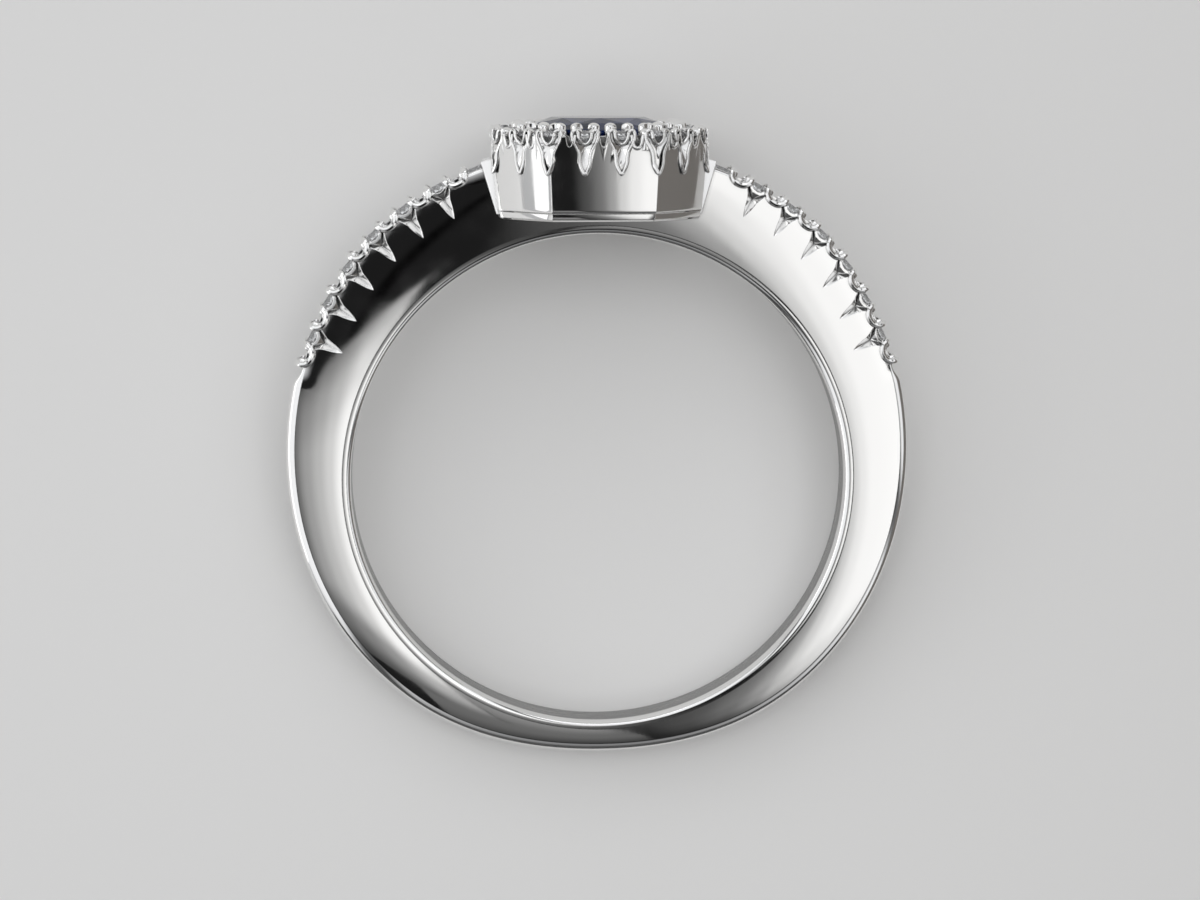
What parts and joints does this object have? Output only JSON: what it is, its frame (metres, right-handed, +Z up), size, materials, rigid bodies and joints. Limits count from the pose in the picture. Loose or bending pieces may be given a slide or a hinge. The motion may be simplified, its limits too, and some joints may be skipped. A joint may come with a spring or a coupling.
{
  "type": "sapphire ring",
  "caption": "Halo ring lying on its side: cushion sapphire in a cut-corner square head, round diamonds in fishtail settings round it and on the shoulders of a plain band.",
  "frame": {"origin": "on the surface that the ring lies on, under the middle of its outline", "axes": "+Z up, +Y along the surface towards the head, +X across the ring; the finger's axis is 7.6 degrees off +Z, tipped away from the head, because the ring rests on the head's edge and the back of the band"},
  "size_m": [0.0212, 0.022, 0.0073],
  "materials": {
    "white_gold": "polished",
    "diamond": "clear, faceted",
    "sapphire": "deep blue, faceted"
  },
  "bodies": {
    "root": {"ring_mount": "white_gold", "sapphire": "sapphire", "halo_diamond_01": "diamond", "halo_diamond_02": "diamond", "halo_diamond_03": "diamond", "halo_diamond_04": "diamond", "halo_diamond_05": "diamond", "halo_diamond_06": "diamond", "halo_diamond_07": "diamond", "halo_diamond_08": "diamond", "halo_diamond_09": "diamond", "halo_diamond_10": "diamond", "halo_diamond_11": "diamond", "halo_diamond_12": "diamond", "halo_diamond_13": "diamond", "halo_diamond_14": "diamond", "halo_diamond_15": "diamond", "halo_diamond_16": "diamond", "halo_diamond_17": "diamond", "halo_diamond_18": "diamond", "halo_diamond_19": "diamond", "halo_diamond_20": "diamond", "shoulder_diamond_left_1": "diamond", "shoulder_diamond_left_2": "diamond", "shoulder_diamond_left_3": "diamond", "shoulder_diamond_left_4": "diamond", "shoulder_diamond_left_5": "diamond", "shoulder_diamond_left_6": "diamond", "shoulder_diamond_left_7": "diamond", "shoulder_diamond_right_1": "diamond", "shoulder_diamond_right_2": "diamond", "shoulder_diamond_right_3": "diamond", "shoulder_diamond_right_4": "diamond", "shoulder_diamond_right_5": "diamond", "shoulder_diamond_right_6": "diamond", "shoulder_diamond_right_7": "diamond"}
  },
  "joints": []
}
